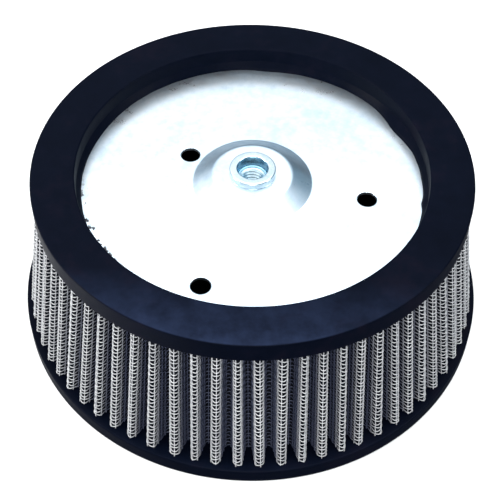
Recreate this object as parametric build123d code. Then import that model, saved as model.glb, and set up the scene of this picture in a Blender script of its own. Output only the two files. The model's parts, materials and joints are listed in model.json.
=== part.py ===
"""Round washable pleated air filter element for a motorcycle, millimetres, +Z up.

The origin is on the axis, at the middle of the face that the base ring seals with.
Two moulded urethane end rings hold a tapered pleated pack: a woven wire screen outside,
four plies of gauze and a woven wire screen inside. A pressed steel end plate is moulded
into the upper ring. It has a raised boss with a clinched nut for the cover screw, and
three holes for the fixing screws. Nothing on it moves.
"""
from build123d import *
from math import asin, atan2, cos, hypot, pi, sin, tan
import os

# overall sizes
top_outer_diameter = 150.0
base_outer_diameter = 168.0
overall_height = 65.7

# upper end ring
top_ring_side_height = 8.0
top_ring_inner_diameter = 120.2
top_potting_depth = 4.0          # how far the pack reaches up into the ring
recess_depth = 8.7               # from the ring's upper face down to the plate
flash_height = 2.9               # sloping urethane bead that creeps over the plate's rim
flash_width = 1.5
plate_capture_width = 3.5        # how far the plate's rim reaches into the urethane
capture_lip_thickness = 2.0      # urethane under the plate's rim
moulded_edge_radius = 0.6

# base end ring
base_ring_height = 6.4
base_potting_depth = 3.4
base_ring_bore_diameter = 140.0
seal_groove_width = 2.0
seal_groove_depth = 0.8

# pleated pack
pleat_count = 70
base_ledge = 1.55                # from the base ring's edge in to the pleat tips
top_ledge = 0.7                  # the same at the upper ring
pleat_tip_bend = 0.12            # bend of the innermost skin where a pleat's tip is folded
pleat_root_radius = 1.0          # outside of the fold at the pleat roots
pleat_depth = 7.7
facets_per_fold = 2
screen_thickness = 0.55
gauze_ply_thickness = 0.12
gauze_ply_count = 4

# end plate
plate_thickness = 1.2
boss_foot_diameter = 41.2
boss_top_diameter = 26.9
boss_height = 4.7
fixing_hole_diameter = 6.76
fixing_hole_places = [(-21.9, 12.9), (39.1, -7.2), (-16.0, -45.8)]

# clinched nut, 5/16-18
nut_shank_diameter = 12.8
nut_shank_below_plate = 7.2
nut_head_overhang = 1.5          # from the shank out to the head's edge
nut_head_height = 2.4
nut_head_chamfer = 0.5
nut_flare_overhang = 1.1         # from the shank out to the flare's edge
nut_flare_thickness = 0.8
nut_thread_bore_diameter = 6.6
nut_sleeve_wall = 1.1            # from the counterbore to the shank's outside
nut_counterbore_depth = 4.3

# seam strip that closes the pack into a loop
seam_strip_thickness = 0.45
seam_strip_clearance = 0.06      # from the strip to the fold that it grips
seam_strip_end_gap = 0.5         # from the strip's ends to the rings

# levels and radii that follow from the sizes above
top_outer_radius = top_outer_diameter / 2
base_outer_radius = base_outer_diameter / 2
top_inner_radius = top_ring_inner_diameter / 2
base_bore_radius = base_ring_bore_diameter / 2
potting_level_top = overall_height - top_ring_side_height
pack_bottom = base_ring_height - base_potting_depth
pack_top = potting_level_top + top_potting_depth
plate_top = overall_height - recess_depth
plate_bottom = plate_top - plate_thickness
capture_bottom = plate_bottom - capture_lip_thickness
plate_radius = top_inner_radius + plate_capture_width
boss_top_level = plate_top + boss_height
nut_top = boss_top_level + nut_head_height
shank_bottom = boss_top_level - plate_thickness - nut_shank_below_plate

pack_thickness = 2 * screen_thickness + gauze_ply_count * gauze_ply_thickness
pleat_tip_radius = pack_thickness + pleat_tip_bend
pleat_pitch = 2 * pi / pleat_count
seam_pleat = pleat_count // 4    # counted round from +X, so the seam lies at the back
tip_radius_low = base_outer_radius - base_ledge
tip_radius_high = top_outer_radius - top_ledge
taper = (tip_radius_low - tip_radius_high) / (potting_level_top - base_ring_height)


def pack_scale(level):
    """Size of the pack's outline at a level, against its outline at the base ring."""
    return 1 - taper * (level - base_ring_height) / tip_radius_low


def fold_geometry(depth):
    """Centres, radii and tangent angle of one pleat's two folds, for a skin at a depth.

    The tip's centre is on the tip's ray and the root's centre is half a pitch round from
    it. Every skin of the pack shares those centres, so the plies nest with no gap.
    """
    tip_centre = tip_radius_low - pleat_tip_radius
    root_centre = tip_radius_low - pleat_depth + pleat_root_radius
    tip_fold = pleat_tip_radius - depth
    root_fold = pleat_root_radius + depth
    across = root_centre * sin(pleat_pitch / 2)
    inward = tip_centre - root_centre * cos(pleat_pitch / 2)
    slope = atan2(across, inward) - asin((tip_fold + root_fold) / hypot(across, inward))
    return tip_centre, root_centre, tip_fold, root_fold, slope


def polar(radius, angle):
    return radius * cos(angle), radius * sin(angle)


def moved(centre, distance, angle):
    return centre[0] + distance * cos(angle), centre[1] + distance * sin(angle)


def skin_corners(depth, level):
    """Corners, in order, of the pleated outline of a skin at a depth, at one level.

    Each fold is a half turn of flat facets with a corner on the fold's crest, and the
    flanks are the straight stretches between one fold's last corner and the next one's
    first. All sizes grow and shrink together with the level, so every facet is flat.
    """
    tip_centre, root_centre, tip_fold, root_fold, slope = fold_geometry(depth)
    size = pack_scale(level)
    reach = pi / 2 - slope
    steps = [reach * (2 * n / facets_per_fold - 1) for n in range(facets_per_fold + 1)]
    corners = []
    for number in range(pleat_count):
        ray = number * pleat_pitch
        root_ray = ray + pleat_pitch / 2
        tip = polar(tip_centre * size, ray)
        root = polar(root_centre * size, root_ray)
        corners += [moved(tip, tip_fold * size, ray + step) for step in steps]
        corners += [moved(root, root_fold * size, root_ray + pi - step) for step in steps]
    return [Vector(x, y, level) for x, y in corners]


def skin_facets(depth):
    """The flat facets of one skin, all the way round, and its lower and upper outlines."""
    low = skin_corners(depth, pack_bottom)
    high = skin_corners(depth, pack_top)
    following = list(range(1, len(low))) + [0]
    facets = []
    for this, after in enumerate(following):
        corners = [low[this], low[after], high[after], high[this]]
        facets.append(Face(Wire.make_polygon(corners, close=True)))
    outlines = [Wire.make_polygon(corners, close=True) for corners in (low, high)]
    return facets, outlines


def pleated_sheet(outside_depth, inside_depth):
    """Closed pleated loop of material between two depths, as long as the whole pack."""
    outer_facets, outer_outlines = skin_facets(outside_depth)
    inner_facets, inner_outlines = skin_facets(inside_depth)
    ends = [Face(outer, [inner]) for outer, inner in zip(outer_outlines, inner_outlines)]
    return Solid(Shell(outer_facets + inner_facets + ends))


def lathe(points):
    """Solid turned round the axis from a closed outline of (radius, level) points."""
    outline = make_face(Polyline([(radius, 0, level) for radius, level in points], close=True))
    return revolve(outline, Axis.Z)


def edges_at(solid, radius, level):
    """The circular edges of a turned solid that have this radius and level."""
    near = 0.01
    circles = solid.edges().filter_by(GeomType.CIRCLE)
    return [edge for edge in circles
            if abs(edge.radius - radius) < near and abs(edge.arc_center.Z - level) < near]


def base_ring_blank():
    """Base ring before the pack is set in it, with a groove round its sealing face."""
    outer = base_outer_radius
    groove_middle = (base_bore_radius + outer) / 2
    groove_in = groove_middle - seal_groove_width / 2
    groove_out = groove_middle + seal_groove_width / 2
    ring = lathe([(base_bore_radius, 0), (groove_in, 0), (groove_in, seal_groove_depth),
                  (groove_out, seal_groove_depth), (groove_out, 0), (outer, 0),
                  (outer, base_ring_height), (base_bore_radius, base_ring_height)])
    corners = edges_at(ring, outer, base_ring_height) + edges_at(ring, outer, 0)
    return fillet(corners, moulded_edge_radius)


def top_ring_blank():
    """Upper ring before the pack and the plate are set in it."""
    inner = top_inner_radius
    outer = top_outer_radius
    flash_inner = inner - flash_width
    capture_outer = inner_pack_radius(potting_level_top) - pleat_tip_radius / 2
    ring = lathe([(inner, overall_height), (inner, plate_top + flash_height),
                  (flash_inner, plate_top), (flash_inner, capture_bottom),
                  (capture_outer, capture_bottom), (capture_outer, potting_level_top),
                  (outer, potting_level_top), (outer, overall_height)])
    corners = edges_at(ring, outer, overall_height) + edges_at(ring, inner, overall_height)
    return fillet(corners, moulded_edge_radius)


def inner_pack_radius(level):
    """Radius that the pack's inner folds reach in to, at a level."""
    tip_centre, root_centre, tip_fold, root_fold, slope = fold_geometry(pack_thickness)
    return (root_centre - root_fold) * pack_scale(level)


def end_plate():
    """Pressed steel disc with a raised boss, the nut's hole and the fixing holes."""
    foot = boss_foot_diameter / 2
    top = boss_top_diameter / 2
    slope = atan2(boss_height, foot - top)
    setback = plate_thickness * tan(slope / 2)
    shank = nut_shank_diameter / 2
    plate = lathe([(shank, boss_top_level), (top, boss_top_level), (foot, plate_top),
                   (plate_radius, plate_top), (plate_radius, plate_bottom),
                   (foot - setback, plate_bottom),
                   (top - setback, boss_top_level - plate_thickness),
                   (shank, boss_top_level - plate_thickness)])
    for x, y in fixing_hole_places:
        drill = Cylinder(fixing_hole_diameter / 2, 3 * plate_thickness)
        plate -= Pos(x, y, (plate_top + plate_bottom) / 2) * drill
    return plate


def cover_nut():
    """Round nut: head on the boss, shank through the plate, lower end flared under it."""
    shank = nut_shank_diameter / 2
    head = shank + nut_head_overhang
    flare = shank + nut_flare_overhang
    bore = nut_thread_bore_diameter / 2
    mouth = shank - nut_sleeve_wall
    plate_under = boss_top_level - plate_thickness
    mouth_bottom = nut_top - nut_counterbore_depth
    return lathe([(mouth, nut_top), (head - nut_head_chamfer, nut_top),
                  (head, nut_top - nut_head_chamfer), (head, boss_top_level),
                  (shank, boss_top_level), (shank, plate_under), (flare, plate_under),
                  (flare, plate_under - nut_flare_thickness),
                  (shank, plate_under - nut_flare_thickness), (shank, shank_bottom),
                  (bore, shank_bottom), (bore, mouth_bottom), (mouth, mouth_bottom)])


def seam_clip():
    """Folded strip that grips one inner fold of the pack and runs up along its taper."""
    tip_centre, root_centre, tip_fold, root_fold, slope = fold_geometry(pack_thickness)
    levels = (base_ring_height + seam_strip_end_gap, capture_bottom - seam_strip_end_gap)
    root_ray = (seam_pleat + 0.5) * pleat_pitch
    outlines = []
    for level in levels:
        size = pack_scale(level)
        inner_fold = (root_fold + seam_strip_clearance) * size
        outer_fold = inner_fold + seam_strip_thickness * size
        centre = polar(root_centre * size, root_ray)
        sides = (root_ray - pi / 2, root_ray + pi, root_ray + pi / 2)
        a, b, c = [moved(centre, outer_fold, side) for side in sides]
        f, e, d = [moved(centre, inner_fold, side) for side in sides]
        edges = [ThreePointArc(a, b, c), Line(c, d), ThreePointArc(d, e, f), Line(f, a)]
        outlines.append(Wire(edges).moved(Location((0, 0, level))))
    return Solid.make_loft(outlines, ruled=True)


def build():
    names = ["outer_screen"]
    names += [f"gauze_ply_{n + 1}" for n in range(gauze_ply_count)]
    names += ["inner_screen"]
    thicknesses = [screen_thickness] + [gauze_ply_thickness] * gauze_ply_count
    thicknesses += [screen_thickness]
    depths = [sum(thicknesses[:n]) for n in range(len(thicknesses) + 1)]
    parts = {}
    for name, outside, inside in zip(names, depths, depths[1:]):
        parts[name] = pleated_sheet(outside, inside)
    pack = pleated_sheet(depths[0], depths[-1])
    plate = end_plate()
    plate_seat = lathe([(0, plate_top), (plate_radius, plate_top),
                        (plate_radius, plate_bottom), (0, plate_bottom)])
    parts["top_end_ring"] = top_ring_blank() - plate_seat - pack
    parts["base_end_ring"] = base_ring_blank() - pack
    parts["end_plate"] = plate
    parts["cover_nut"] = cover_nut()
    parts["seam_clip"] = seam_clip()
    return parts


os.makedirs("parts", exist_ok=True)
for name, solid in build().items():
    export_step(solid, f"parts/{name}.step")
    print(name, len(solid.solids()), "solid", round(solid.volume / 1000, 2), "cm3")
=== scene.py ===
# %% [markdown]
# A round motorcycle air filter element, as a lesson in Blender.
#
# The element is a loop of pleated media: a woven wire screen, four plies of cotton gauze and
# a second wire screen, folded together. Its ends are cast into two black urethane rings. A
# zinc-plated steel plate is cast into the upper ring, with a raised boss and a clinched nut.
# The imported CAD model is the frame. Each cell takes its places from the frame's boxes and
# mounts, and gives the visible pieces their true surface: real wires, round folds, soft
# moulded edges and a cut thread.

# %% The frame
import json
import math

import bmesh
import bpy
import numpy as np
from mathutils import Matrix, Vector
from mathutils.geometry import delaunay_2d_cdt


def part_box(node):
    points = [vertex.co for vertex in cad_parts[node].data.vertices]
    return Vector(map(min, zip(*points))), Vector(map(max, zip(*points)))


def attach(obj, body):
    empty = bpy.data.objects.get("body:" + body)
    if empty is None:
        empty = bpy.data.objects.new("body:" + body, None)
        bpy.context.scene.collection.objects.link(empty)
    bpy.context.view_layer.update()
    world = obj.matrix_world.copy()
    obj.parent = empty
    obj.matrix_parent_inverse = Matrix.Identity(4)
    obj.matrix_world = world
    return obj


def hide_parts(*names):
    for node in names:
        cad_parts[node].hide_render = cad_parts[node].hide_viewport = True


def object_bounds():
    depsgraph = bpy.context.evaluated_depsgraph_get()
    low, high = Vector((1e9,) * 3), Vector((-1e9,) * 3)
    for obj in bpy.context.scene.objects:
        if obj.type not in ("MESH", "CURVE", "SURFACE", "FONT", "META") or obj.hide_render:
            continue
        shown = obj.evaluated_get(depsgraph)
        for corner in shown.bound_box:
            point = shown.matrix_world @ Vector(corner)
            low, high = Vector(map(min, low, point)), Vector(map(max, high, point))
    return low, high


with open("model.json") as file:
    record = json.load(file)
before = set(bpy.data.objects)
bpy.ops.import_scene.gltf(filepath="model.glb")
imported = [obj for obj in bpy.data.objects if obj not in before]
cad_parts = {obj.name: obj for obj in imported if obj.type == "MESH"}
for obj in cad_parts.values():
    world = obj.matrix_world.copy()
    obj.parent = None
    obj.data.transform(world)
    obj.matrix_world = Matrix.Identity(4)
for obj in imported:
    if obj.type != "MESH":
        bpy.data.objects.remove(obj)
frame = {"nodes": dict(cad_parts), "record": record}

cad_low, cad_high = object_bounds()
print("nodes:", sorted(frame["nodes"]))
print("CAD box, mm:", [round(1000 * (high - low), 2) for low, high in zip(cad_low, cad_high)])

# %% [markdown]
# Every size is in metres. Levels and radii come from the boxes of the CAD nodes, and the
# places of the holes come from the record's mounts, so a new pack moves the pieces with it.
# What no box can tell, such as the radius of a fold or of an edge, is named here.

# %% Levels, radii and mounts
MM = 0.001
BODY = "root"

top_low, top_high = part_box("top_end_ring")
_, base_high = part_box("base_end_ring")
plate_low, plate_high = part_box("end_plate")
nut_low, nut_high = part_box("cover_nut")
pack_low, pack_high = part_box("outer_screen")
clip_low, clip_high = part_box("seam_clip")
mounts = {mount["name"]: mount for mount in frame["record"]["mounts"]}

top_face = top_high[2]
top_outer = top_high[0]
base_outer = base_high[0]
base_face = base_high[2]
capture_bottom = top_low[2]
plate_rim = plate_high[0]
plate_under = plate_low[2]
boss_face = plate_high[2]
nut_face = nut_high[2]
nut_end = nut_low[2]

plate_thickness = 1.2 * MM
plate_face = plate_under + plate_thickness
skirt_bottom = top_face - 8.0 * MM
recess_radius = 60.1 * MM
flash_height = 2.9 * MM
flash_width = 1.5 * MM
base_bore = 70.0 * MM
print("upper ring", round(2000 * top_outer, 1), "mm, base ring", round(2000 * base_outer, 1), "mm")
print("recess is", round(1000 * (top_face - plate_face), 2), "mm deep")

# %% [markdown]
# Nearly every surface here is a grid of points: a function of two parameters, worked out
# as one numpy array and handed to Blender in bulk. One helper numbers the quads of such a
# grid, and joins its last column to its first where the surface closes on itself. The other
# makes the mesh. A closed surface has a signed volume, which is negative when its faces
# point inwards, so the helper measures it and turns the faces round if it has to.


# %% A mesh from a grid of points
def grid_faces(rows, columns, wrap_rows=False, wrap_columns=False):
    """Corner numbers of the quads between neighbours of a rows x columns grid of points."""
    row = np.arange(rows if wrap_rows else rows - 1)
    column = np.arange(columns if wrap_columns else columns - 1)
    row, column = np.meshgrid(row, column, indexing="ij")
    next_row = (row + 1) % rows
    next_column = (column + 1) % columns
    corners = [row * columns + column, row * columns + next_column,
               next_row * columns + next_column, next_row * columns + column]
    return np.stack(corners, axis=-1).reshape(-1, 4)


def signed_volume(points, faces):
    """Volume inside closed faces: a sixth of the triple product of each triangle's corners."""
    total = 0.0
    for second in range(1, faces.shape[1] - 1):
        a, b, c = (points[faces[:, corner]] for corner in (0, second, second + 1))
        total += float(np.einsum("ij,ij->", a, np.cross(b, c))) / 6
    return total


def new_piece(name, points, faces, uv=None, closed=True, sharp=None):
    """A mesh object at the origin from points (n, 3), faces (m, 3 or 4) and corner UVs.

    All faces are shaded smooth, but edges that turn by more than the sharp angle are not.
    """
    points = np.asarray(points, dtype=np.float64).reshape(-1, 3)
    faces = np.asarray(faces, dtype=np.int32)
    if closed and signed_volume(points, faces) < 0:
        faces = faces[:, ::-1]
    mesh = bpy.data.meshes.new(name)
    mesh.vertices.add(len(points))
    mesh.vertices.foreach_set("co", points.astype(np.float32).ravel())
    mesh.loops.add(faces.size)
    mesh.loops.foreach_set("vertex_index", np.ascontiguousarray(faces).ravel())
    mesh.polygons.add(len(faces))
    starts = np.arange(0, faces.size, faces.shape[1], dtype=np.int32)
    mesh.polygons.foreach_set("loop_start", starts)
    if uv is not None:
        layer = mesh.uv_layers.new(name="cloth")
        layer.data.foreach_set("uv", np.ascontiguousarray(uv, dtype=np.float32).ravel())
    mesh.update(calc_edges=True)
    mesh.polygons.foreach_set("use_smooth", np.full(len(faces), True))
    if sharp is not None:
        mesh.set_sharp_from_angle(angle=sharp)
    piece = bpy.data.objects.new(name, mesh)
    bpy.context.scene.collection.objects.link(piece)
    return piece


SHARP = math.radians(38)
triangle_counts = {}


def finish_piece(piece, material, slot, *nodes):
    """Gives a piece its finish and body, and names the CAD nodes it stands for; slot is not used."""
    piece.data.materials.append(material)
    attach(piece, BODY)
    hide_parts(*nodes)
    triangle_counts[piece.name] = sum(len(face.vertices) - 2 for face in piece.data.polygons)
    print(f"{piece.name}: {triangle_counts[piece.name]} triangles")
    return piece


# %% [markdown]
# A turned piece is a profile carried round the axis. The profile is a list of corners, each
# with its radius, its level and its own rounding. A rounded corner becomes a short arc that
# touches both sides, which is what catches the light along a moulded edge.


# %% Profiles with rounded corners
def rounded_profile(corners, steps=6, spacing=1.5 * MM):
    """Points along a closed profile of (radius, level, rounding) corners.

    The arc's centre lies on the corner's bisector, at the rounding divided by the sine of
    the half angle. Straight runs are divided evenly, none longer than the spacing.
    """
    places = np.array([corner[:2] for corner in corners])
    points = []
    for place, before, after, corner in zip(places, np.roll(places, 1, axis=0),
                                            np.roll(places, -1, axis=0), corners):
        rounding = corner[2]
        if rounding == 0:
            points.append(place[None])
            continue
        back = (before - place) / np.linalg.norm(before - place)
        ahead = (after - place) / np.linalg.norm(after - place)
        half = math.acos(back @ ahead) / 2
        bisector = (back + ahead) / np.linalg.norm(back + ahead)
        centre = place + bisector * rounding / math.sin(half)
        start = place + back * rounding / math.tan(half) - centre
        end = place + ahead * rounding / math.tan(half) - centre
        share = np.linspace(0, 1, steps + 1)[:, None]
        sweep = math.pi - 2 * half
        arc = np.sin((1 - share) * sweep) * start + np.sin(share * sweep) * end
        points.append(centre + arc / math.sin(sweep))
    points = np.concatenate(points)
    runs = []
    for this, after in zip(points, np.roll(points, -1, axis=0)):
        count = max(1, math.ceil(np.linalg.norm(after - this) / spacing))
        runs.append(this + (after - this) * np.linspace(0, 1, count, endpoint=False)[:, None])
    return np.concatenate(runs)


def turned(profile, segments):
    """Grid of points (segments, profile points, 3): the profile at each angle round the axis."""
    angle = np.linspace(0, 2 * np.pi, segments, endpoint=False)[:, None]
    radius = profile[None, :, 0]
    level = np.broadcast_to(profile[None, :, 1], (segments, len(profile)))
    return np.stack([radius * np.cos(angle), radius * np.sin(angle), level], axis=-1)


# %% [markdown]
# Finishes. Each real surface has more than one tone: urethane comes out of its mould with
# faint clouds and a fine grain, plated steel has spangles and rolling marks, and a bluish
# painted sheen lightens what faces up. What more than one finish uses is a node group with
# named inputs, built once: clouds, fine grain and painted sheen.


# %% Node helpers
def add(tree, kind, inputs=None, **settings):
    """A new node, with its settings, and with inputs that are values or other sockets."""
    node = tree.nodes.new(kind)
    for key, value in settings.items():
        setattr(node, key, value)
    for key, value in (inputs or {}).items():
        if isinstance(value, bpy.types.NodeSocket):
            tree.links.new(value, node.inputs[key])
        else:
            node.inputs[key].default_value = value
    return node


def sums(tree, operation, first, second):
    """One Math node on two values or sockets."""
    return add(tree, "ShaderNodeMath", {0: first, 1: second}, operation=operation).outputs[0]


def spread(tree, value, low, high, to_low=0.0, to_high=1.0):
    """A value carried from one range to another, and held at its ends."""
    node = add(tree, "ShaderNodeMapRange", {"Value": value, "From Min": low, "From Max": high,
               "To Min": to_low, "To Max": to_high})
    return node.outputs["Result"]


def tones(tree, value, *stops):
    """Colour ramp of (position, (r, g, b)) stops, driven by a value."""
    ramp = add(tree, "ShaderNodeValToRGB", {"Fac": value})
    elements = ramp.color_ramp.elements
    while len(elements) < len(stops):
        elements.new(0.5)
    for element, (position, colour) in zip(elements, stops):
        element.position = position
        element.color = (*colour, 1.0)
    return ramp.outputs["Color"]


def blended(tree, mask, first, second):
    """Colour mixed from the first, where the mask is 0, to the second, where it is 1."""
    mix = tree.nodes.new("ShaderNodeMix")
    mix.data_type = "RGBA"
    named = {socket.identifier: socket for socket in mix.inputs}
    for key, value in (("Factor_Float", mask), ("A_Color", first), ("B_Color", second)):
        if isinstance(value, bpy.types.NodeSocket):
            tree.links.new(value, named[key])
        else:
            named[key].default_value = (*value, 1.0)
    return next(socket for socket in mix.outputs if socket.identifier == "Result_Color")


# %% [markdown]
# The shared effects put out only masks and heights. Clouds adds a wide and a narrow noise.
# Grain multiplies noise by small rounded cells, for a bump. Painted sheen is a mask of how
# far the surface faces up, broken by noise: where it is high, a sheen is painted into the colour.


# %% Shared effects
def effect_group(name, inputs, output):
    """An empty node group with named inputs and one float output, and its two end nodes."""
    tree = bpy.data.node_groups.new(name, "ShaderNodeTree")
    for label, kind in inputs.items():
        tree.interface.new_socket(label, in_out="INPUT", socket_type=kind)
    tree.interface.new_socket(output, in_out="OUTPUT", socket_type="NodeSocketFloat")
    return tree, tree.nodes.new("NodeGroupInput").outputs, tree.nodes.new("NodeGroupOutput").inputs


def clouds_group():
    """Soft mottling from 0 to 1: the sum of two layers of noise, wide and narrow."""
    tree, given, out = effect_group("clouds", {"Vector": "NodeSocketVector",
                                    "Wide": "NodeSocketFloat", "Narrow": "NodeSocketFloat"}, "Value")
    wide = add(tree, "ShaderNodeTexNoise", {"Vector": given["Vector"], "Scale": given["Wide"],
               "Detail": 3.0, "Roughness": 0.55})
    narrow = add(tree, "ShaderNodeTexNoise", {"Vector": given["Vector"],
                 "Scale": given["Narrow"], "Detail": 4.0, "Roughness": 0.6})
    both = sums(tree, "ADD", wide.outputs["Fac"], narrow.outputs["Fac"])
    tree.links.new(spread(tree, both, 0.74, 1.26), out["Value"])
    return tree


def grain_group():
    """Height of a fine grain: noise times the distance to the middle of small cells."""
    tree, given, out = effect_group("grain", {"Vector": "NodeSocketVector",
                                    "Scale": "NodeSocketFloat"}, "Height")
    fine = add(tree, "ShaderNodeTexNoise", {"Vector": given["Vector"], "Scale": given["Scale"],
               "Detail": 2.0})
    cells = add(tree, "ShaderNodeTexVoronoi", {"Vector": given["Vector"],
                "Scale": given["Scale"]}, feature="SMOOTH_F1")
    tree.links.new(sums(tree, "MULTIPLY", fine.outputs["Fac"], cells.outputs["Distance"]),
                   out["Height"])
    return tree


def painted_sheen_group():
    """Mask of painted sheen: how far the surface faces up, times a broken noise."""
    tree, given, out = effect_group("bloom", {"Vector": "NodeSocketVector",
                                    "Scale": "NodeSocketFloat", "Amount": "NodeSocketFloat"}, "Mask")
    facing = add(tree, "ShaderNodeNewGeometry")
    split = add(tree, "ShaderNodeSeparateXYZ", {"Vector": facing.outputs["Normal"]})
    up = spread(tree, split.outputs["Z"], 0.55, 1.0)
    patches = add(tree, "ShaderNodeTexNoise", {"Vector": given["Vector"],
                  "Scale": given["Scale"], "Detail": 5.0, "Roughness": 0.7})
    broken = spread(tree, patches.outputs["Fac"], 0.36, 0.68, 0.35, 1.0)
    # painted sheen: the more a surface faces up, the more sheen is painted on it
    upward_sheen = sums(tree, "MULTIPLY", up, broken)
    tree.links.new(sums(tree, "MULTIPLY", upward_sheen, given["Amount"]), out["Mask"])
    return tree


CLOUDS = clouds_group()
GRAIN = grain_group()
PAINTED_SHEEN = painted_sheen_group()


def new_finish(name):
    """A material, its node tree, its Principled shader and its object coordinates."""
    material = bpy.data.materials.new(name)
    material.use_nodes = True
    tree = material.node_tree
    place = tree.nodes.new("ShaderNodeTexCoord")
    return material, tree, tree.nodes["Principled BSDF"], place.outputs["Object"]


def effect(tree, group, **inputs):
    """The output of one of the shared effects, placed in a material's tree."""
    return add(tree, "ShaderNodeGroup", inputs, node_tree=group).outputs[0]


def set_bump(tree, shader, height, distance, strength):
    bump = add(tree, "ShaderNodeBump", {"Height": height, "Distance": distance,
               "Strength": strength})
    tree.links.new(bump.outputs["Normal"], shader.inputs["Normal"])


# %% [markdown]
# Cast urethane is a dense black rubber with a blue cast, satin straight from the mould. The
# clouds change its tone and its sheen together, a bluish painted sheen lightens what faces
# up, most of all on the front side, and the fine grain breaks the highlights up.


# %% Finish: cast urethane
# The side of the ring that gets the most painted sheen: the front.
SHEEN_SIDE = (-0.05, -1.0, 0.0)


def urethane_finish(name, sheen_amount):
    material, tree, shader, place = new_finish(name)
    clouds = effect(tree, CLOUDS, Vector=place, Wide=34.0, Narrow=190.0)
    tone = tones(tree, clouds, (0.0, (0.0003, 0.0010, 0.0036)), (0.6, (0.0006, 0.0014, 0.0046)),
                 (1.0, (0.0018, 0.0020, 0.0054)))
    # Painted sheen: what faces up, most of all on the front, is lightened towards a pale blue.
    bloom = effect(tree, PAINTED_SHEEN, Vector=place, Scale=85.0, Amount=sheen_amount)
    across = add(tree, "ShaderNodeVectorMath", {0: place, 1: SHEEN_SIDE}, operation="DOT_PRODUCT")
    sheen_in_front = spread(tree, across.outputs["Value"], 0.048, 0.078, 0.04, 1.0)
    with_painted_sheen = blended(tree, sums(tree, "MULTIPLY", bloom, sheen_in_front), tone, (0.0115, 0.0185, 0.043))
    tree.links.new(with_painted_sheen, shader.inputs["Base Color"])
    tree.links.new(spread(tree, clouds, 0.0, 1.0, 0.40, 0.52), shader.inputs["Roughness"])
    shader.inputs["Specular IOR Level"].default_value = 0.020
    set_bump(tree, shader, effect(tree, GRAIN, Vector=place, Scale=2400.0), 0.00005, 0.4)
    return material


# The rings share one finish and differ only in painted sheen: the base ring, in shade between the
# pleats, gets a tenth of it.
TOP_URETHANE = urethane_finish("cast_urethane_top", 1.0)
BASE_URETHANE = urethane_finish("cast_urethane_base", 0.1)
print("finishes:", TOP_URETHANE.name, BASE_URETHANE.name)

# %% [markdown]
# Bright zinc plating on pressed steel is a pale blue-white metal. Broad clouds and small
# spangles shift its colour and its roughness by a few per cent. Close to the rim, on one
# side, a few specks of urethane have stuck to it, so the tone is mixed with black by a mask
# that starts at a radius. The nut is a turned part with a deeper blue plating, and the wall
# of its mouth is painted a darker blue, as painted shade. Its grain is rings round the axis,
# which is noise of the radius alone.


# %% Finishes: zinc plate and blue zinc nut
SPECK_RADIUS = 56.1 * MM
SPECK_SIDE = (-0.88, -0.47, 0.0)
NUT_MOUTH_EDGE = 5.45 * MM


def distance_from_axis(tree, place):
    """Length of the object coordinates with their level set to 0."""
    flat = add(tree, "ShaderNodeVectorMath", {0: place, 1: (1.0, 1.0, 0.0)}, operation="MULTIPLY")
    length = add(tree, "ShaderNodeVectorMath", {0: flat.outputs["Vector"]}, operation="LENGTH")
    return length.outputs["Value"]


def plate_finish():
    material, tree, shader, place = new_finish("bright_zinc")
    clouds = effect(tree, CLOUDS, Vector=place, Wide=46.0, Narrow=330.0)
    spangle = add(tree, "ShaderNodeTexVoronoi", {"Vector": place, "Scale": 260.0})
    mixed = sums(tree, "MULTIPLY", spangle.outputs["Distance"], 0.25)
    tone = tones(tree, sums(tree, "ADD", clouds, mixed), (0.0, (0.44, 0.54, 0.63)),
                 (0.35, (0.53, 0.63, 0.71)), (0.7, (0.61, 0.70, 0.77)), (1.0, (0.66, 0.73, 0.79)))
    radius = distance_from_axis(tree, place)
    near_rim = spread(tree, radius, SPECK_RADIUS, SPECK_RADIUS + 0.5 * MM)
    specks = add(tree, "ShaderNodeTexNoise", {"Vector": place, "Scale": 620.0, "Detail": 3.0})
    spots = spread(tree, specks.outputs["Fac"], 0.575, 0.60)
    across = add(tree, "ShaderNodeVectorMath", {0: place, 1: SPECK_SIDE}, operation="DOT_PRODUCT")
    on_one_side = spread(tree, across.outputs["Value"], 0.050, 0.055)
    dirt = sums(tree, "MULTIPLY", sums(tree, "MULTIPLY", near_rim, spots), on_one_side)
    tree.links.new(blended(tree, dirt, tone, (0.008, 0.010, 0.018)), shader.inputs["Base Color"])
    tree.links.new(spread(tree, dirt, 0.0, 1.0, 1.0, 0.0), shader.inputs["Metallic"])
    tree.links.new(spread(tree, clouds, 0.0, 1.0, 0.36, 0.27), shader.inputs["Roughness"])
    set_bump(tree, shader, effect(tree, GRAIN, Vector=place, Scale=1500.0), 0.00002, 0.12)
    return material


def nut_finish():
    material, tree, shader, place = new_finish("blue_zinc")
    clouds = effect(tree, CLOUDS, Vector=place, Wide=120.0, Narrow=700.0)
    tone = tones(tree, clouds, (0.0, (0.40, 0.50, 0.56)), (0.6, (0.49, 0.58, 0.63)),
                 (1.0, (0.56, 0.64, 0.68)))
    radius = distance_from_axis(tree, place)
    in_mouth = spread(tree, radius, NUT_MOUTH_EDGE - 0.2 * MM, NUT_MOUTH_EDGE, 1.0, 0.0)
    on_wall = spread(tree, radius, NUT_MOUTH_EDGE - 0.8 * MM, NUT_MOUTH_EDGE - 0.3 * MM, 0.3, 1.0)
    # Painted shade: the wall of the nut's mouth is painted a darker blue.
    painted_mouth_shade = sums(tree, "MULTIPLY", in_mouth, on_wall)
    tree.links.new(blended(tree, painted_mouth_shade, tone, (0.20, 0.40, 0.52)), shader.inputs["Base Color"])
    shader.inputs["Metallic"].default_value = 1.0
    tree.links.new(spread(tree, clouds, 0.0, 1.0, 0.27, 0.18), shader.inputs["Roughness"])
    rings = add(tree, "ShaderNodeTexNoise", {"W": radius, "Scale": 9000.0, "Detail": 2.0},
                noise_dimensions="1D")
    set_bump(tree, shader, rings.outputs["Fac"], 0.000003, 0.12)
    return material


ZINC_PLATE = plate_finish()
ZINC_NUT = nut_finish()
print("finishes:", ZINC_PLATE.name, ZINC_NUT.name)
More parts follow.
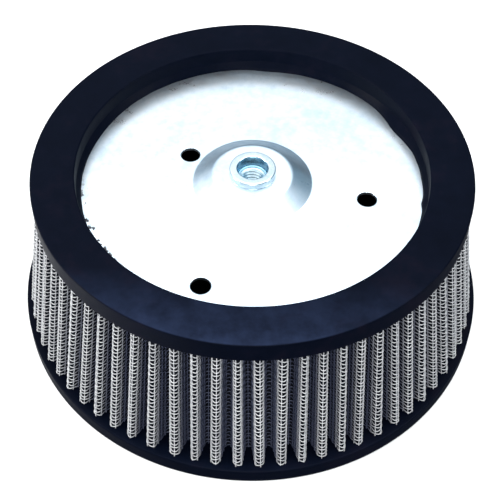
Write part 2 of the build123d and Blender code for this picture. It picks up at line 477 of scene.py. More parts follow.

# %% [markdown]
# The wire has a bright silver coating with a broad sheen. The clouds are as small as a few
# wires, so that neighbours differ a little. Deep in the folds the outer screen's wires are
# painted darker, as painted shade, while the tips keep their tone: a mask of how far a wire
# lies behind the tips mixes the two. The inner screen and the seam strip have no painted shade.


# %% Finishes: coated wire and seam strip
BASE_LEDGE = 1.55 * MM
TOP_LEDGE = 0.7 * MM
tip_at_base = base_outer - BASE_LEDGE
tip_at_top = top_outer - TOP_LEDGE
taper = (tip_at_base - tip_at_top) / (skirt_bottom - base_face)
# Depths behind the tips where the painted shade starts and where it is full.
SHADE_START_DEPTH = 0.9 * MM
FULL_SHADE_DEPTH = 3.8 * MM


def fold_shade_mask(tree, place):
    """Mask of painted shade deep in the folds: radius, plus the taper times the level, against the
    tips'.
    """
    split = add(tree, "ShaderNodeSeparateXYZ", {"Vector": place})
    above = sums(tree, "SUBTRACT", split.outputs["Z"], base_face)
    reach = sums(tree, "ADD", distance_from_axis(tree, place), sums(tree, "MULTIPLY", above, taper))
    return spread(tree, reach, tip_at_base - FULL_SHADE_DEPTH, tip_at_base - SHADE_START_DEPTH, 1.0, 0.0)


def coated_metal(name, dark, light, rough_low, rough_high, metallic, fold_shade=None):
    material, tree, shader, place = new_finish(name)
    clouds = effect(tree, CLOUDS, Vector=place, Wide=150.0, Narrow=1400.0)
    tone = tones(tree, clouds, (0.0, dark), (1.0, light))
    if fold_shade:
        tone = blended(tree, fold_shade_mask(tree, place), tone, fold_shade)
    tree.links.new(tone, shader.inputs["Base Color"])
    tree.links.new(spread(tree, clouds, 0.0, 1.0, rough_high, rough_low),
                   shader.inputs["Roughness"])
    shader.inputs["Metallic"].default_value = metallic
    set_bump(tree, shader, effect(tree, GRAIN, Vector=place, Scale=2600.0), 0.000006, 0.15)
    return material


# The outer wires are painted a dark blue-grey deep in the folds, as painted shade.
OUTER_FINISH = coated_metal("coated_wire", (0.34, 0.345, 0.36), (0.52, 0.525, 0.53), 0.34, 0.46,
                            0.35, fold_shade=(0.062, 0.072, 0.118))
INNER_FINISH = coated_metal("inner_wire", (0.40, 0.41, 0.43), (0.58, 0.585, 0.60), 0.34, 0.46, 0.6)
SEAM_METAL = coated_metal("seam_metal", (0.55, 0.56, 0.58), (0.78, 0.79, 0.81), 0.30, 0.45, 1.0)
print("finishes:", OUTER_FINISH.name, INNER_FINISH.name, SEAM_METAL.name)

# %% [markdown]
# Oiled cotton gauze is nearly black behind the bright wire. Its weave follows the cloth's
# own UV map, which is in metres: one sine along the folds times one across them gives the
# alternating highs of a plain weave, and it stands in the bump and a little in the tone.


# %% Finish: oiled gauze
YARN_PITCH = 0.42 * MM


def gauze_finish():
    material, tree, shader, place = new_finish("oiled_gauze")
    cloth = add(tree, "ShaderNodeUVMap", uv_map="cloth")
    split = add(tree, "ShaderNodeSeparateXYZ", {"Vector": cloth.outputs["UV"]})
    waves = []
    for axis in ("X", "Y"):
        phase = sums(tree, "MULTIPLY", split.outputs[axis], math.pi / YARN_PITCH)
        waves.append(sums(tree, "SINE", phase, 0.0))
    weave = spread(tree, sums(tree, "MULTIPLY", *waves), -1.0, 1.0)
    tone = tones(tree, weave, (0.0, (0.0008, 0.0010, 0.0018)), (1.0, (0.0040, 0.0048, 0.0085)))
    tree.links.new(tone, shader.inputs["Base Color"])
    stain = effect(tree, CLOUDS, Vector=place, Wide=60.0, Narrow=500.0)
    tree.links.new(spread(tree, stain, 0.0, 1.0, 0.92, 0.70), shader.inputs["Roughness"])
    shader.inputs["Specular IOR Level"].default_value = 0.06
    set_bump(tree, shader, weave, 0.00008, 0.6)
    return material


GAUZE = gauze_finish()
print("finish:", GAUZE.name)

# %% [markdown]
# The base ring is a plain moulding, so it is a turned profile. It has rounded outer edges, a
# flat top that the pleats stand in, and a small groove round its sealing face underneath.


# %% Base ring
RING_SEGMENTS = 480
EDGE = 0.6 * MM
groove_middle = (base_bore + base_outer) / 2
groove_half = 1.0 * MM
groove_depth = 0.8 * MM

base_profile = rounded_profile([
    (base_outer, 0, EDGE), (base_outer, base_face, EDGE), (base_bore, base_face, 0.4 * MM),
    (base_bore, 0, 0.4 * MM), (groove_middle - groove_half, 0, 0.2 * MM),
    (groove_middle - groove_half, groove_depth, 0.2 * MM),
    (groove_middle + groove_half, groove_depth, 0.2 * MM),
    (groove_middle + groove_half, 0, 0.2 * MM)])
base_grid = turned(base_profile, RING_SEGMENTS)
base_ring = new_piece("base_ring", base_grid, grid_faces(*base_grid.shape[:2], True, True),
                      sharp=SHARP)
finish_piece(base_ring, BASE_URETHANE, "urethane", "base_end_ring")

# %% [markdown]
# The upper ring is turned too, but its inner edge isn't true: where the urethane met the
# plate in the mould it crept over the rim as a thin sloping bead. The bead's reach over the
# plate is a function of the angle. It wavers all round, has one flat stretch, one shallow
# tongue and one small step, and the points between the recess wall and the bead's edge are
# moved in or out in proportion.


# %% Upper ring
def bead_reach(angle):
    """How far the bead reaches in, against its usual width, at each angle round the ring.

    It is 1 plus two slow waves, a fine ripple, and bell-shaped swellings at three angles.
    """
    waver = 0.05 * np.sin(5 * angle + 0.6) + 0.05 * np.sin(9 * angle + 2.1)
    ripple = 0.035 * np.sin(41 * angle) * np.sin(3 * angle + 1.0)
    reach = 1 + waver + ripple
    for middle, width, height in ((27.5, 8.5, 1.15), (85.0, 7.0, 0.45), (-9.0, 2.2, 0.35)):
        turn = np.angle(np.exp(1j * (angle - math.radians(middle))))
        reach += height * np.exp(-(turn / math.radians(width)) ** 2)
    return reach


capture_outer = recess_radius + 5.9 * MM
seat_inner = recess_radius - flash_width
top_profile = rounded_profile([
    (top_outer, top_face, EDGE), (recess_radius, top_face, EDGE),
    (recess_radius, plate_face + flash_height, 0.5 * MM),
    (recess_radius - 0.75 * flash_width, plate_face + 0.35 * flash_height, 1.2 * MM),
    (seat_inner, plate_face, 0), (plate_rim, plate_face, 0), (plate_rim, plate_under, 0),
    (seat_inner, plate_under, 0), (seat_inner, capture_bottom, 0.5 * MM),
    (capture_outer, capture_bottom, 0.8 * MM), (capture_outer, skirt_bottom, 0),
    (top_outer, skirt_bottom, 0.35 * MM)])
top_grid = turned(top_profile, RING_SEGMENTS)
in_bead = (top_profile[:, 1] >= plate_face - 1e-9) & (top_profile[:, 0] < recess_radius - 1e-9)
ring_angle = np.linspace(0, 2 * np.pi, RING_SEGMENTS, endpoint=False)
bead = recess_radius - (recess_radius - top_profile[in_bead, 0]) * bead_reach(ring_angle)[:, None]
top_grid[:, in_bead, 0] = bead * np.cos(ring_angle)[:, None]
top_grid[:, in_bead, 1] = bead * np.sin(ring_angle)[:, None]
top_ring = new_piece("top_ring", top_grid, grid_faces(*top_grid.shape[:2], True, True),
                     sharp=SHARP)
finish_piece(top_ring, TOP_URETHANE, "urethane", "top_end_ring")
print("bead edge radius, mm:", round(1000 * bead.min(), 2), "to",
      round(1000 * bead[:, -1].max(), 2))

# %% [markdown]
# The plate is pressed from sheet. Its boss is a turned surface with a soft edge at the foot
# and a softer one at the top. The flat part round it has three holes at uneven places, which
# a polar grid can't follow, so the flat part is a triangulation between the outlines: the
# boss's foot, the rim and a circle just outside each hole. Each hole's wall is its own small
# turned profile, with a rounded upper edge, and everything meets on shared points.


# %% End plate
BOSS_FOOT = 20.6 * MM
BOSS_TOP = 13.45 * MM
NUT_SHANK = 6.4 * MM
SHEET_LEAN = 0.4 * MM
foot_reach = BOSS_FOOT + 0.5 * MM
boss_under = boss_face - plate_thickness


def circle(radius, count, centre=(0.0, 0.0)):
    """Evenly spaced points (count, 2) on a circle."""
    angle = np.linspace(0, 2 * np.pi, count, endpoint=False)
    return np.stack([centre[0] + radius * np.cos(angle), centre[1] + radius * np.sin(angle)], -1)


def flat_between(outlines, keep):
    """Triangles of the flat region between closed outlines, where keep(x, y) is true."""
    points = np.concatenate(outlines)
    edges = []
    start = 0
    for outline in outlines:
        numbers = np.arange(start, start + len(outline))
        edges += list(zip(numbers.tolist(), np.roll(numbers, -1).tolist()))
        start += len(outline)
    found = delaunay_2d_cdt([Vector(point) for point in points.tolist()], edges, [], 0, 1e-9)
    places = np.array([tuple(point) for point in found[0]])
    triangles = np.array([face for face in found[2] if len(face) == 3])
    middle = places[triangles].mean(axis=1)
    return places, triangles[keep(middle[:, 0], middle[:, 1])]


def joined(parts):
    """One set of points and triangles from several; points at the same place become one."""
    points = []
    faces = []
    start = 0
    for part_points, part_faces in parts:
        part_points = np.asarray(part_points).reshape(-1, 3)
        if part_faces.shape[1] == 4:
            part_faces = np.concatenate([part_faces[:, :3], part_faces[:, [0, 2, 3]]])
        points.append(part_points)
        faces.append(part_faces + start)
        start += len(part_points)
    points = np.concatenate(points)
    faces = np.concatenate(faces)
    _, first, number = np.unique(np.round(points, 7), axis=0, return_index=True,
                                 return_inverse=True)
    return points[first], number.reshape(-1)[faces]


BOSS_SEGMENTS = 160
RIM_SEGMENTS = 320
HOLE_SEGMENTS = 48
HOLE_EDGE = 0.25 * MM
HOLE_APRON = 0.2 * MM

hole_mounts = [mounts[f"fixing_hole_{number}"] for number in (1, 2, 3)]
hole_places = [tuple(mount["pos_m"][:2]) for mount in hole_mounts]
hole_radius = hole_mounts[0]["dims"]["r_mm"] * MM
apron_radius = hole_radius + HOLE_EDGE + HOLE_APRON

# the boss, from the flat's inner outline over the boss, down the nut's hole and back below
boss_profile = rounded_profile([
    (foot_reach, plate_face, 0), (BOSS_FOOT, plate_face, 1.2 * MM), (BOSS_TOP, boss_face, 3.0 * MM),
    (NUT_SHANK, boss_face, 0), (NUT_SHANK, boss_under, 0),
    (BOSS_TOP - SHEET_LEAN, boss_under, 1.8 * MM),
    (BOSS_FOOT - SHEET_LEAN, plate_under, 2.4 * MM), (foot_reach, plate_under, 0)],
    steps=8, spacing=1.2 * MM)
last = int(np.argmin(np.hypot(boss_profile[:, 0] - foot_reach, boss_profile[:, 1] - plate_under)))
boss_profile = boss_profile[:last + 1]
boss_grid = turned(boss_profile, BOSS_SEGMENTS)
parts = [(boss_grid, grid_faces(*boss_grid.shape[:2], True, False))]

# the holes' walls, each from its apron over the rounded edge and down to the underside
quarter = np.linspace(0, np.pi / 2, 5)
wall = [(apron_radius, plate_face)]
wall += [(hole_radius + HOLE_EDGE * (1 - math.sin(a)), plate_face - HOLE_EDGE * (1 - math.cos(a)))
         for a in quarter]
wall += [(hole_radius, plate_under), (apron_radius, plate_under)]
hole_grid = turned(np.array(wall), HOLE_SEGMENTS)
for x, y in hole_places:
    moved = hole_grid + np.array([x, y, 0.0])
    parts.append((moved, grid_faces(*moved.shape[:2], True, False)))

# the rim's wall, hidden in the upper ring
rim_grid = turned(np.array([(plate_rim, plate_face), (plate_rim, plate_under)]), RIM_SEGMENTS)
parts.append((rim_grid, grid_faces(*rim_grid.shape[:2], True, False)))


def on_the_flat(x, y):
    """True for places on the flat part: between the boss and the rim, and in no hole."""
    free = np.hypot(x, y) > foot_reach * math.cos(math.pi / BOSS_SEGMENTS) - 1e-6
    for hole_x, hole_y in hole_places:
        free &= np.hypot(x - hole_x, y - hole_y) > apron_radius * 0.995
    return free


outlines = [circle(foot_reach, BOSS_SEGMENTS), circle(plate_rim, RIM_SEGMENTS)]
outlines += [circle(apron_radius, HOLE_SEGMENTS, place) for place in hole_places]
flat_places, flat_faces = flat_between(outlines, on_the_flat)
for level in (plate_face, plate_under):
    flat_points = np.column_stack([flat_places, np.full(len(flat_places), level)])
    parts.append((flat_points, flat_faces))

plate = new_piece("plate", *joined(parts), closed=False)
shell = bmesh.new()
shell.from_mesh(plate.data)
bmesh.ops.recalc_face_normals(shell, faces=shell.faces)
print("plate volume, cm3:", round(1e6 * shell.calc_volume(signed=True), 2),
      "open edges:", sum(not edge.is_manifold for edge in shell.edges))
shell.to_mesh(plate.data)
shell.free()
plate.data.set_sharp_from_angle(angle=SHARP)
finish_piece(plate, ZINC_PLATE, "zinc_plate", "end_plate")

# %% [markdown]
# The nut is a turned part with a real thread. Its grid is a profile round the axis, and down
# the bore the radius follows a helix: at each angle and level it is the minor radius plus
# the thread's depth times a triangle wave, which moves down one pitch per turn, so the grid
# still closes on itself. The wave fades out at the lower end of the bore, as a cut thread does.


# %% Cover nut with its thread
NUT_SEGMENTS = 128
THREAD_ROWS = 108
SCREW_PITCH = 25.4 / 18 * MM
THREAD_MAJOR = 3.97 * MM
SLEEVE_WALL = 1.1 * MM
MOUTH_DEPTH = 4.3 * MM
FLARE_OVERHANG = 1.1 * MM
FLARE_THICKNESS = 0.8 * MM
head_radius = nut_high[0]
mouth_radius = NUT_SHANK - SLEEVE_WALL
mouth_bottom = nut_face - MOUTH_DEPTH
flare_radius = NUT_SHANK + FLARE_OVERHANG
flare_bottom = boss_under - FLARE_THICKNESS
thread_minor = mounts["cover_screw"]["dims"]["r_mm"] * MM


def smooth_step(value, low, high):
    """0 below low, 1 above high, and 3t^2 - 2t^3 between them."""
    t = np.clip((value - low) / (high - low), 0, 1)
    return t * t * (3 - 2 * t)


thread_levels = np.linspace(mouth_bottom - 0.5 * MM, nut_end + 0.3 * MM, THREAD_ROWS)
outside = rounded_profile([
    (thread_minor + 0.3 * MM, nut_end, 0.15 * MM), (NUT_SHANK, nut_end, 0.2 * MM),
    (NUT_SHANK, flare_bottom, 0.2 * MM), (flare_radius, flare_bottom, 0.3 * MM),
    (flare_radius, boss_under, 0), (NUT_SHANK, boss_under, 0), (NUT_SHANK, boss_face, 0),
    (head_radius, boss_face, 0.25 * MM), (head_radius, nut_face, 0.45 * MM),
    (mouth_radius, nut_face, 0.35 * MM), (mouth_radius, mouth_bottom, 0.5 * MM),
    (THREAD_MAJOR + 0.25 * MM, mouth_bottom - 0.1 * MM, 0.1 * MM),
    (thread_minor + 0.1 * MM, thread_levels[0], 0), (thread_minor, thread_levels[-1], 0)],
    steps=5, spacing=0.6 * MM)
first_row = int(np.argmin(np.hypot(outside[:, 0] - thread_minor - 0.1 * MM,
                                   outside[:, 1] - thread_levels[0])))
thread_profile = np.column_stack([np.full(THREAD_ROWS, thread_minor), thread_levels])
nut_profile = np.concatenate([outside[:first_row], thread_profile])
nut_grid = turned(nut_profile, NUT_SEGMENTS)
nut_angle = np.linspace(0, 2 * np.pi, NUT_SEGMENTS, endpoint=False)[:, None]
turns = thread_levels[None, :] / SCREW_PITCH - nut_angle / (2 * np.pi)
wave = np.abs(2 * (turns % 1) - 1)
cut = np.clip(1.3 * wave - 0.15, 0, 1) * (THREAD_MAJOR - thread_minor)
cut *= smooth_step(thread_levels, nut_end + 0.3 * MM, nut_end + 1.1 * MM)
thread_radius = thread_minor + cut
nut_grid[:, first_row:, 0] = thread_radius * np.cos(nut_angle)
nut_grid[:, first_row:, 1] = thread_radius * np.sin(nut_angle)
nut = new_piece("nut", nut_grid, grid_faces(*nut_grid.shape[:2], True, True),
                sharp=SHARP)
finish_piece(nut, ZINC_NUT, "zinc_nut", "cover_nut")

# %% [markdown]
# The pleated pack. Seen from above, every sheet of the pack follows one outline: a round
# fold at each pleat's tip, a round fold at each root, and straight flanks that touch both.
# The outline of a sheet further in has smaller tip folds and larger root folds about the
# same centres, which is why folded sheets nest. Points are complex numbers here, since a
# turn about the axis is then a product.


# %% The pleats' outline
PLEATS = 70
PITCH = 2 * math.pi / PLEATS
TIP_FOLD = 1.7 * MM
ROOT_FOLD = 1.0 * MM
PLEAT_DEPTH = 7.7 * MM
SCREEN_DEPTH = 0.55 * MM
PLY_DEPTH = 0.12 * MM
PLIES = 4


def one_pleat(depth):
    """Corners of one pleat's outline for a sheet at a depth behind the outermost surface.

    The flank touches the tip's fold at the angle of the line between the fold centres, less
    the angle whose cosine is the sum of the fold radii over the distance between them.
    """
    tip = tip_at_base - TIP_FOLD
    root = (tip_at_base - PLEAT_DEPTH + ROOT_FOLD) * np.exp(0.5j * PITCH)
    tip_fold = TIP_FOLD - depth
    root_fold = ROOT_FOLD + depth
    span = root - tip
    touch = np.angle(span) - math.acos((tip_fold + root_fold) / abs(span))
    tip_arc = tip + tip_fold * np.exp(1j * np.linspace(-touch, touch, 24))
    back = math.pi + touch
    root_arc = root + root_fold * np.exp(1j * np.linspace(back, math.tau + PITCH - back, 24))
    return np.concatenate([tip_arc, root_arc])


def outline(depth, count):
    """Points, outward directions and length of the whole outline, evenly spaced by length."""
    turns = np.exp(1j * PITCH * np.arange(PLEATS))[:, None]
    loop = (turns * one_pleat(depth)[None, :]).ravel()
    loop = np.append(loop, loop[0])
    along = np.concatenate([[0], np.cumsum(np.abs(np.diff(loop)))])
    length = along[-1]

    def at(distance):
        distance = distance % length
        return np.interp(distance, along, loop.real) + 1j * np.interp(distance, along, loop.imag)

    places = np.arange(count) * length / count
    ahead = at(places + 0.06 * MM) - at(places - 0.06 * MM)
    return at(places), -1j * ahead / np.abs(ahead), length


for depth in (0.0, SCREEN_DEPTH, 2 * SCREEN_DEPTH + PLIES * PLY_DEPTH):
    print("depth", round(1000 * depth, 2), "mm: outline", round(outline(depth, 8)[2], 4), "m")

# %% [markdown]
# Pleats are set into the mould by hand, so they don't stand evenly: the pitch drifts round
# the ring, neighbours differ a little, and some lean. All of that is one smooth turn about
# the axis, as a function of angle and level. Every sheet and wire uses the same function,
# so they stay nested. The pack also narrows upwards in proportion.

# %% How the pack stands
LEVEL_MIDDLE = (base_face + skirt_bottom) / 2
LEVEL_SPAN = skirt_bottom - base_face


def uneven_turn(angle, level):
    """Turn about the axis, in radians: slow drift, differences of neighbours, and lean."""
    drift = 0.011 * (np.sin(3 * (angle + 2.007)) - 0.966)
    neighbours = 0.0035 * np.sin(13 * angle + 0.4) + 0.0026 * np.sin(27 * angle + 1.9)
    lean = 0.010 * np.sin(5 * angle + 0.9) + 0.0055 * np.sin(19 * angle + 2.6)
    return drift + neighbours + lean * (level - LEVEL_MIDDLE) / LEVEL_SPAN


def stand(points, level):
    """Places in space of outline points (complex) at levels: narrowed, then turned."""
    level = np.broadcast_to(level, points.shape)
    size = 1 - taper * (level - base_face) / tip_at_base
    placed = points * size * np.exp(1j * uneven_turn(np.angle(points), level))
    return np.stack([placed.real, placed.imag, level], axis=-1)


# %% [markdown]
# Woven wire. Upright wires and round wires cross in turn over and under: at crossing number
# i, j the round wire is pushed out by the wire's radius where i + j is even, and in where it
# is odd, and the upright wire the other way. Between crossings each follows a cosine. A wire
# is a thin tube: a small ring of points round each point of its path. All the wires of a
# piece are worked out as one array.


# %% Tubes along many wires at once
def wire_tubes(paths, outward, sideways, radius, closed, sides=4):
    """Points and quads of tubes round paths (wires, steps, 3).

    Each ring of points is the path's point plus the radius times the cosine of the angle
    outwards and its sine sideways. A closed path joins its ends; an open one is capped.
    """
    wires, steps = paths.shape[:2]
    angle = (np.arange(sides) + 0.5) * 2 * np.pi / sides
    ring = (np.cos(angle)[:, None] * outward[:, :, None, :]
            + np.sin(angle)[:, None] * sideways[:, :, None, :])
    points = paths[:, :, None, :] + radius * ring
    quads = grid_faces(steps, sides, closed, True)
    if not closed:
        first = np.arange(sides)[::-1]
        caps = np.stack([first, (steps - 1) * sides + first[::-1]])
        quads = np.concatenate([quads, caps])
    starts = np.arange(wires)[:, None, None] * steps * sides
    return points.reshape(-1, 3), (quads[None] + starts).reshape(-1, 4)


def flat_direction(direction, shape):
    """Complex directions as unit vectors in space with no level, spread to a shape."""
    direction = np.broadcast_to(direction, shape)
    return np.stack([direction.real, direction.imag, np.zeros(shape)], axis=-1)


ROUND_SPACING = 1.665 * MM
UPRIGHT_COUNT = 664
round_levels = np.arange(base_face - 0.95 * MM, skirt_bottom + 1.0 * MM, ROUND_SPACING)
print("wires:", len(round_levels), "round,", UPRIGHT_COUNT, "upright")


def round_wires(depth, radius, steps_between, rows):
    """Wires that follow the folds at some of the levels; steps_between points per crossing."""
    count = UPRIGHT_COUNT * steps_between
    places, out, length = outline(depth, count)
    phase = np.cos(np.pi * np.arange(count) / steps_between)
    sign = (-1.0) ** rows[:, None]
    level = round_levels[rows][:, None]
    paths = stand(places + radius * sign * phase * out, np.broadcast_to(level, (len(rows), count)))
    outward = flat_direction(out, paths.shape[:2])
    upward = np.broadcast_to(np.array([0.0, 0.0, 1.0]), paths.shape)
    return wire_tubes(paths, outward, upward, radius, closed=True)


def upright_wires(depth, radius, steps_between, columns):
    """Wires that run up the pack at some of the columns, from inside one ring to the other."""
    places, out, length = outline(depth, UPRIGHT_COUNT)
    places, out = places[columns][:, None], out[columns][:, None]
    ends = 1.6 * MM
    count = (len(round_levels) - 1) * steps_between + 1
    row = np.arange(count) / steps_between
    level = round_levels[0] + row * ROUND_SPACING
    level = np.concatenate([[level[0] - ends], level, [level[-1] + ends]])
    phase = np.concatenate([[0.0], np.cos(np.pi * row), [0.0]])
    sign = (-1.0) ** columns[:, None]
    shape = (len(columns), len(level))
    paths = stand(places - radius * sign * phase * out, np.broadcast_to(level, shape))
    outward = flat_direction(out, shape)
    sideways = flat_direction(1j * out, shape)
    return wire_tubes(paths, outward, sideways, radius, closed=False)


# %% [markdown]
# A piece is kept under 200,000 triangles, so the screen's wires are shared out between
# several pieces: the round wires by level, and the upright wires by sector. The inner screen
# is seen only from inside the filter, so its wires have fewer points.


# %% Outer and inner screens
OUTER_WIRE = 0.168 * MM
INNER_WIRE = 0.16 * MM
outer_depth = SCREEN_DEPTH / 2
inner_depth = 1.5 * SCREEN_DEPTH + PLIES * PLY_DEPTH


def screen(name, finish, depth, radius, round_steps, round_parts, upright_steps, upright_parts):
    """All the pieces of one screen: round wires by level and upright wires by sector."""
    for number, rows in enumerate(np.array_split(np.arange(len(round_levels)), round_parts), 1):
        points, quads = round_wires(depth, radius, round_steps, rows)
        piece = new_piece(f"{name}_round_wires_{number}", points, quads)
        finish_piece(piece, finish, "screen_wire", f"{name}_screen")
    for number, columns in enumerate(np.array_split(np.arange(UPRIGHT_COUNT), upright_parts), 1):
        points, quads = upright_wires(depth, radius, upright_steps, columns)
        piece = new_piece(f"{name}_upright_wires_{number}", points, quads)
        finish_piece(piece, finish, "screen_wire", f"{name}_screen")


screen("outer", OUTER_FINISH, outer_depth, OUTER_WIRE, 3, 4, 2, 3)
screen("inner", INNER_FINISH, inner_depth, INNER_WIRE, 2, 2, 1, 1)

# %% [markdown]
# The four gauze plies lie between the screens. Each is a sheet of cloth, folded on the same
# outline at its own depth. It was cut as a strip: its length is the outline's length, which
# the grid gives exactly, and its width is the height of the pack along its slope. Its UV map
# is that strip laid flat, in metres, for the weave.


# %% Gauze plies
PLY_POINTS = PLEATS * 20
PLY_ROWS = 7
ply_levels = np.linspace(pack_low[2] + 0.3 * MM, pack_high[2] - 0.3 * MM, PLY_ROWS)


def gauze_ply(number):
    """One ply: a grid of the pack's levels by points evenly spaced along its outline."""
    depth = SCREEN_DEPTH + (number - 0.5) * PLY_DEPTH
    places, out, length = outline(depth, PLY_POINTS)
    shape = (PLY_ROWS, PLY_POINTS)
    points = stand(np.broadcast_to(places, shape), np.broadcast_to(ply_levels[:, None], shape))
    quads = grid_faces(PLY_ROWS, PLY_POINTS, False, True)
    row, column = np.divmod(quads, PLY_POINTS)
    column = np.where((column == 0) & (np.arange(4) % 3 != 0), PLY_POINTS, column)
    height = (ply_levels[-1] - ply_levels[0]) * math.hypot(1, taper)
    uv = np.stack([column * length / PLY_POINTS, row * height / (PLY_ROWS - 1)], axis=-1)
    piece = new_piece(f"gauze_ply_{number}_cloth", points, quads, uv=uv, closed=False)
    finish_piece(piece, GAUZE, "gauze", f"gauze_ply_{number}")


for number in range(1, PLIES + 1):
    gauze_ply(number)

# %% [markdown]
# The seam strip closes the pack into a loop. It is a folded metal strip that grips one inner
# fold, with a row of crimps pressed into it. Its section is two arcs about the fold's
# centre, and the crimps are a cosine along its height that pinches the strip a little.


# %% Seam strip
SEAM_PLEAT = PLEATS // 4
STRIP_THICKNESS = 0.45 * MM
STRIP_CLEARANCE = 0.06 * MM
CRIMPS = 9
strip_ray = (SEAM_PLEAT + 0.5) * PITCH
strip_centre = (tip_at_base - PLEAT_DEPTH + ROOT_FOLD) * np.exp(1j * strip_ray)
strip_inner = ROOT_FOLD + 2 * SCREEN_DEPTH + PLIES * PLY_DEPTH + STRIP_CLEARANCE
strip_levels = np.linspace(clip_low[2], clip_high[2], 16 * CRIMPS + 1)
bend = np.linspace(-np.pi / 2, np.pi / 2, 25)
crimp = 0.12 * MM * (1 - np.cos(math.tau * CRIMPS * np.linspace(0, 1, len(strip_levels)))) / 2
strip_back = strip_ray + np.pi
outer_arc = (strip_inner + STRIP_THICKNESS - crimp[:, None]) * np.exp(1j * (strip_back + bend))
inner_arc = np.broadcast_to(strip_inner * np.exp(1j * (strip_back - bend)), outer_arc.shape)
section = strip_centre + np.concatenate([outer_arc, inner_arc], axis=1)
strip_points = stand(section, strip_levels[:, None])
strip_rows, strip_columns = section.shape
strip_faces = grid_faces(strip_rows, strip_columns, False, True)
near = np.arange(len(bend) - 1)
cap = np.stack([near, near + 1, strip_columns - 2 - near, strip_columns - 1 - near], axis=-1)
strip_faces = np.concatenate([strip_faces, cap[:, ::-1], cap + (strip_rows - 1) * strip_columns])
seam_strip = new_piece("seam_strip", strip_points, strip_faces, sharp=SHARP)
finish_piece(seam_strip, SEAM_METAL, "seam_strip", "seam_clip")
print("all pieces:", sum(triangle_counts.values()), "triangles")

# %% [markdown]
# The floor is a plain pale plane, painted near black where the filter covers it, as painted
# shade. What is seen in the gloss of the object is another matter: there the floor is painted
# as a dark ground with a white patch on the left, a painted reflection for the left sides of
# the rings, and the light it bounces is dark too. The light is one wide soft box overhead and
# a little behind, so that its reflection fills the plate and fades towards the back of the
# rings, and weak boxes in front, at the left and at the right for the sides. The sky is white
# overhead and blue-grey near the horizon, which is what the slope of the boss reflects, and
# it leans to the left and front.


# %% Floor, lights and world
FLOOR_BOUNCE = (0.11, 0.115, 0.13)
UNDER_BASE = 72.0 * MM


def floor_finish():
    material, tree, shader, place = new_finish("pale_floor")
    clouds = effect(tree, CLOUDS, Vector=place, Wide=2.0, Narrow=14.0)
    pale = tones(tree, clouds, (0.0, (0.66, 0.66, 0.66)), (1.0, (0.69, 0.69, 0.69)))
    radius = distance_from_axis(tree, place)
    # Painted shade: the floor under the filter is near black.
    painted_shade_under = spread(tree, radius, UNDER_BASE, UNDER_BASE + 2.0 * MM, 1.0, 0.0)
    pale = blended(tree, painted_shade_under, pale, (0.001, 0.001, 0.004))
    split = add(tree, "ShaderNodeSeparateXYZ", {"Vector": place})
    # Painted reflection: a white patch on the left of the floor, seen only in gloss.
    painted_reflection_patch = tones(tree, spread(tree, split.outputs["X"], -0.16, -0.02),
                  (0.0, (0.95, 0.95, 0.95)), (1.0, FLOOR_BOUNCE))
    ray = tree.nodes.new("ShaderNodeLightPath")
    bounce = blended(tree, ray.outputs["Is Glossy Ray"], FLOOR_BOUNCE, painted_reflection_patch)
    tree.links.new(blended(tree, ray.outputs["Is Camera Ray"], bounce, pale),
                   shader.inputs["Base Color"])
    shader.inputs["Roughness"].default_value = 0.8
    shader.inputs["Specular IOR Level"].default_value = 0.1
    return material


FLOOR_HALF = 3.0
corner = np.array([-1.0, 1.0]) * FLOOR_HALF
floor_grid = np.stack([*np.meshgrid(corner, corner), np.full((2, 2), cad_low[2])], axis=-1)
floor = new_piece("floor", floor_grid, grid_faces(2, 2), closed=False)
floor.data.materials.append(floor_finish())


def area_light(name, place, target, size, power):
    """A rectangular light at a place, turned to face a target."""
    lamp = bpy.data.lights.new(name, "AREA")
    lamp.shape = "RECTANGLE"
    lamp.size, lamp.size_y = size
    lamp.energy = power
    light = bpy.data.objects.new(name, lamp)
    away = Vector(place) - Vector(target)
    facing = away.to_track_quat("Z", "Y").to_matrix().to_4x4()
    light.matrix_world = Matrix.Translation(place) @ facing
    bpy.context.scene.collection.objects.link(light)
    return light


area_light("soft_box", (0.0, 0.10, 1.10), (0.0, 0.10, 0.0), (1.5, 1.1), 14.0)
area_light("front_box", (0.0, -1.20, 0.30), (0.0, 0.0, 0.03), (0.6, 0.3), 13.0)
area_light("left_box", (-1.15, -0.25, 0.30), (0.0, 0.0, 0.03), (0.5, 0.3), 14.0)
area_light("right_box", (1.15, -0.35, 0.30), (0.0, 0.0, 0.03), (0.5, 0.3), 9.0)

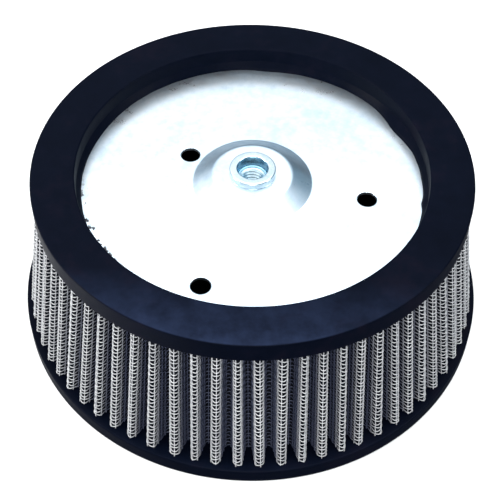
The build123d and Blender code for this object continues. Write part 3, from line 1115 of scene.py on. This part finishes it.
SKY_LEAN = (-0.30, -0.12, 1.0)
world = bpy.data.worlds.new("studio")
bpy.context.scene.world = world
world.use_nodes = True
sky = world.node_tree
direction = sky.nodes.new("ShaderNodeTexCoord")
towards = add(sky, "ShaderNodeVectorMath", {0: direction.outputs["Generated"], 1: SKY_LEAN},
              operation="DOT_PRODUCT")
shade = tones(sky, spread(sky, towards.outputs["Value"], -0.3, 0.9), (0.0, (0.05, 0.12, 0.17)),
              (0.36, (0.09, 0.16, 0.21)), (0.46, (0.26, 0.34, 0.40)), (0.62, (0.66, 0.74, 0.81)),
              (0.76, (0.93, 0.96, 0.99)), (0.88, (1.0, 1.0, 1.0)))
backdrop = sky.nodes["Background"]
sky.links.new(shade, backdrop.inputs["Color"])
backdrop.inputs["Strength"].default_value = 1.75
bpy.context.scene.view_settings.view_transform = "Standard"

# %% [markdown]
# The camera looks down at the filter from the front. Its place is worked out from its
# distance to the middle of the upper ring and its pitch, and it is moved down a little in
# its own plane so that the whole filter stands in the square picture.

# %% Camera
CAMERA_PITCH = math.radians(49.88)
CAMERA_ROLL = math.radians(0.88)
CAMERA_DISTANCE = 0.3774
CAMERA_DROP = 0.02934
CAMERA_ASIDE = 0.00014
CAMERA_LENS = 79.95

ahead = Vector((0.0, math.cos(CAMERA_PITCH), -math.sin(CAMERA_PITCH)))
camera_up = Vector((0.0, math.sin(CAMERA_PITCH), math.cos(CAMERA_PITCH)))
camera_place = Vector((-CAMERA_ASIDE, 0.0, top_face)) - CAMERA_DISTANCE * ahead
camera_place -= CAMERA_DROP * camera_up
lens = bpy.data.cameras.new("camera")
lens.lens = CAMERA_LENS
lens.sensor_width = 36.0
lens.dof.use_dof = False
camera = bpy.data.objects.new("camera", lens)
tilt = Matrix.Rotation(math.pi / 2 - CAMERA_PITCH, 4, "X")
camera.matrix_world = Matrix.Translation(camera_place) @ tilt @ Matrix.Rotation(CAMERA_ROLL, 4, "Z")
bpy.context.scene.collection.objects.link(camera)
bpy.context.scene.camera = camera
print("camera at, m:", [round(value, 4) for value in camera_place])
